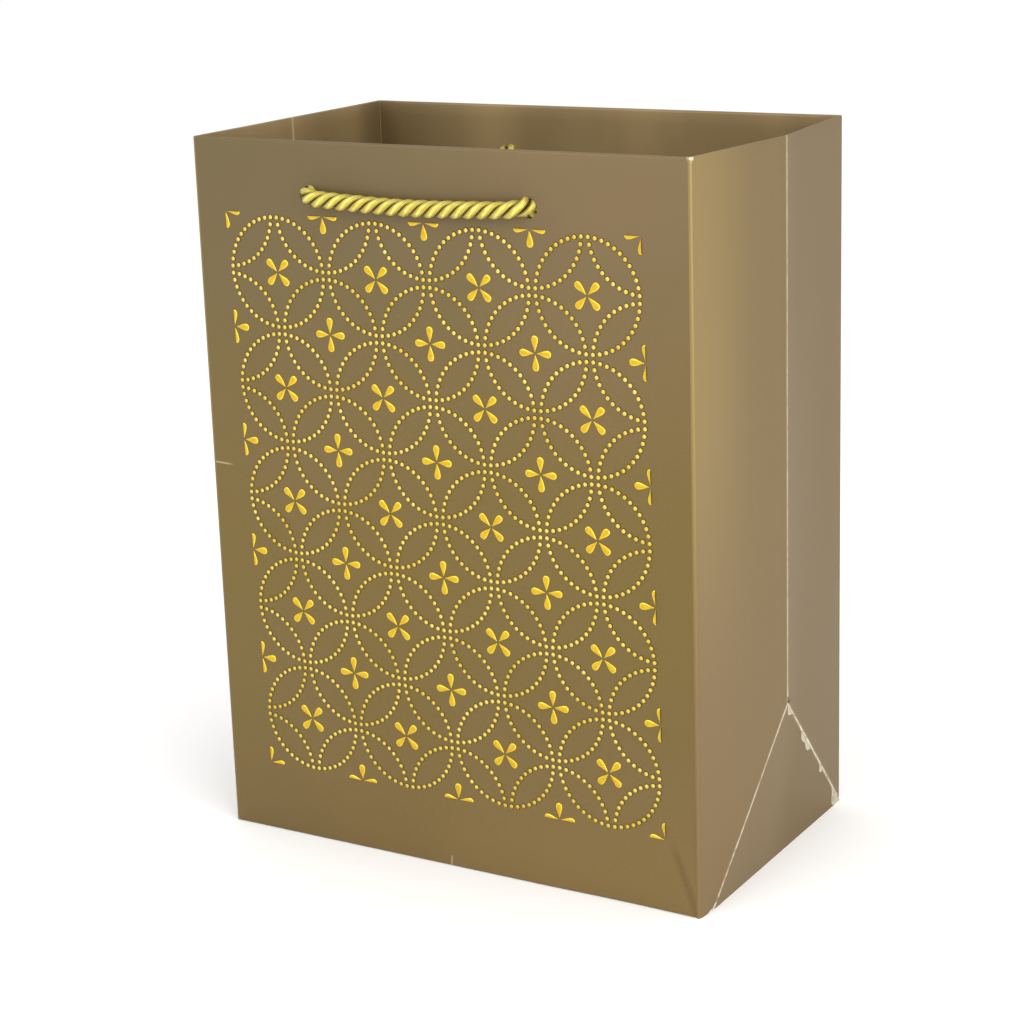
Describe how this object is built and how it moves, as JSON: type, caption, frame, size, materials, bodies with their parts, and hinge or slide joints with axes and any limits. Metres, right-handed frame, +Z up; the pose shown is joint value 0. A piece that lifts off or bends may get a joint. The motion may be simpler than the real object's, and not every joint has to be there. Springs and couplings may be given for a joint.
{
  "type": "gift bag",
  "caption": "Flat-folding paper gift bag with gusseted sides, a turned-in top edge, a card base and twisted cord handles through plain punched holes.",
  "frame": {"origin": "centre of the base on the floor", "axes": "+Z up towards the open mouth, -Y the front panel, +X the right gusset"},
  "size_m": [0.1872, 0.1218, 0.24],
  "materials": {
    "bronze_paper": "pearlescent bronze laminated art paper, with a gold foil print",
    "grey_card": "plain stiff card",
    "gold_cord": "shiny twisted gold cord"
  },
  "bodies": {
    "front_wall": {"front_panel": "bronze_paper", "front_top_card": "grey_card", "front_hem": "bronze_paper", "front_cord": "gold_cord", "front_left_knot": "gold_cord", "front_right_knot": "gold_cord"},
    "right_front_half": {"right_gusset_front": "bronze_paper", "right_front_hem": "bronze_paper"},
    "right_rear_half": {"right_gusset_rear": "bronze_paper", "right_rear_hem": "bronze_paper"},
    "back_wall": {"back_panel": "bronze_paper", "back_top_card": "grey_card", "back_hem": "bronze_paper", "side_seam_flap": "bronze_paper", "back_cord": "gold_cord", "back_left_knot": "gold_cord", "back_right_knot": "gold_cord"},
    "back_lower_strip": {"back_fold_strip": "bronze_paper"},
    "right_corner_fold": {"right_corner_triangle": "bronze_paper"},
    "left_front_half": {"left_gusset_front": "bronze_paper", "left_front_hem": "bronze_paper"},
    "left_rear_half": {"left_gusset_rear": "bronze_paper", "left_rear_hem": "bronze_paper"},
    "left_corner_fold": {"left_corner_triangle": "bronze_paper"},
    "base": {"base_back_flap": "bronze_paper", "base_front_flap": "bronze_paper", "base_left_flap": "bronze_paper", "base_right_flap": "bronze_paper", "base_card": "grey_card"},
    "right_foot_fold": {"right_foot_triangle": "bronze_paper"},
    "left_foot_fold": {"left_foot_triangle": "bronze_paper"}
  },
  "joints": [
    {"name": "fold_flat", "type": "hinge", "parent": "front_wall", "child": "right_front_half", "pos_m": [0.0906, -0.0546, 0.12], "axis": [0, 0, 1], "range_deg": [0, 77.5]},
    {"name": "right_centre_crease", "type": "hinge", "parent": "right_front_half", "child": "right_rear_half", "pos_m": [0.09626, 0, 0.12], "axis": [0, 0, 1], "range_deg": [-155, 0]},
    {"name": "right_back_crease", "type": "hinge", "parent": "right_rear_half", "child": "back_wall", "pos_m": [0.0906, 0.0546, 0.12], "axis": [0, 0, 1], "range_deg": [0, 77.5]},
    {"name": "back_wall_crease", "type": "hinge", "parent": "back_wall", "child": "back_lower_strip", "pos_m": [0, 0.055, 0.055], "axis": [1, 0, 0], "range_deg": [0, 127.18], "deforming": ["back_fold_strip"]},
    {"name": "right_corner_crease", "type": "hinge", "parent": "right_rear_half", "child": "right_corner_fold", "pos_m": [0.0906, 0.0546, 0.055], "axis": [-0.0958, 0.9954, 0], "range_deg": [0, 128.57], "deforming": ["right_corner_triangle"]},
    {"name": "left_front_crease", "type": "hinge", "parent": "front_wall", "child": "left_front_half", "pos_m": [-0.0906, -0.0546, 0.12], "axis": [0, 0, 1], "range_deg": [-71.9, 0]},
    {"name": "left_centre_crease", "type": "hinge", "parent": "left_front_half", "child": "left_rear_half", "pos_m": [-0.091, 0, 0.12], "axis": [0, 0, 1], "range_deg": [0, 143.8]},
    {"name": "left_corner_crease", "type": "hinge", "parent": "left_rear_half", "child": "left_corner_fold", "pos_m": [-0.0906, 0.0546, 0.055], "axis": [0, 1, 0], "range_deg": [-128.57, 0], "deforming": ["left_corner_triangle"]},
    {"name": "base_front_crease", "type": "hinge", "parent": "front_wall", "child": "base", "pos_m": [0, -0.0546, 0.0008], "axis": [1, 0, 0], "range_deg": [0, 49.21]},
    {"name": "right_foot_crease", "type": "hinge", "parent": "base", "child": "right_foot_fold", "pos_m": [0.0906, 0, 0.0004], "axis": [0, 1, 0], "range_deg": [-66.5, 0], "deforming": ["right_foot_triangle"]},
    {"name": "left_foot_crease", "type": "hinge", "parent": "base", "child": "left_foot_fold", "pos_m": [-0.0906, 0, 0.0004], "axis": [0, 1, 0], "range_deg": [0, 66.5], "deforming": ["left_foot_triangle"]}
  ],
  "couplings": [
    {"joint": "right_centre_crease", "follows": "fold_flat", "ratio": -2},
    {"joint": "right_back_crease", "follows": "fold_flat", "ratio": 1},
    {"joint": "back_wall_crease", "follows": "fold_flat", "ratio": 1.641},
    {"joint": "right_corner_crease", "follows": "fold_flat", "ratio": 1.659},
    {"joint": "left_front_crease", "follows": "fold_flat", "ratio": -0.92775},
    {"joint": "left_centre_crease", "follows": "fold_flat", "ratio": 1.8555},
    {"joint": "left_corner_crease", "follows": "fold_flat", "ratio": -1.659},
    {"joint": "base_front_crease", "follows": "fold_flat", "ratio": 0.635},
    {"joint": "right_foot_crease", "follows": "fold_flat", "ratio": -0.858},
    {"joint": "left_foot_crease", "follows": "fold_flat", "ratio": 0.858}
  ]
}
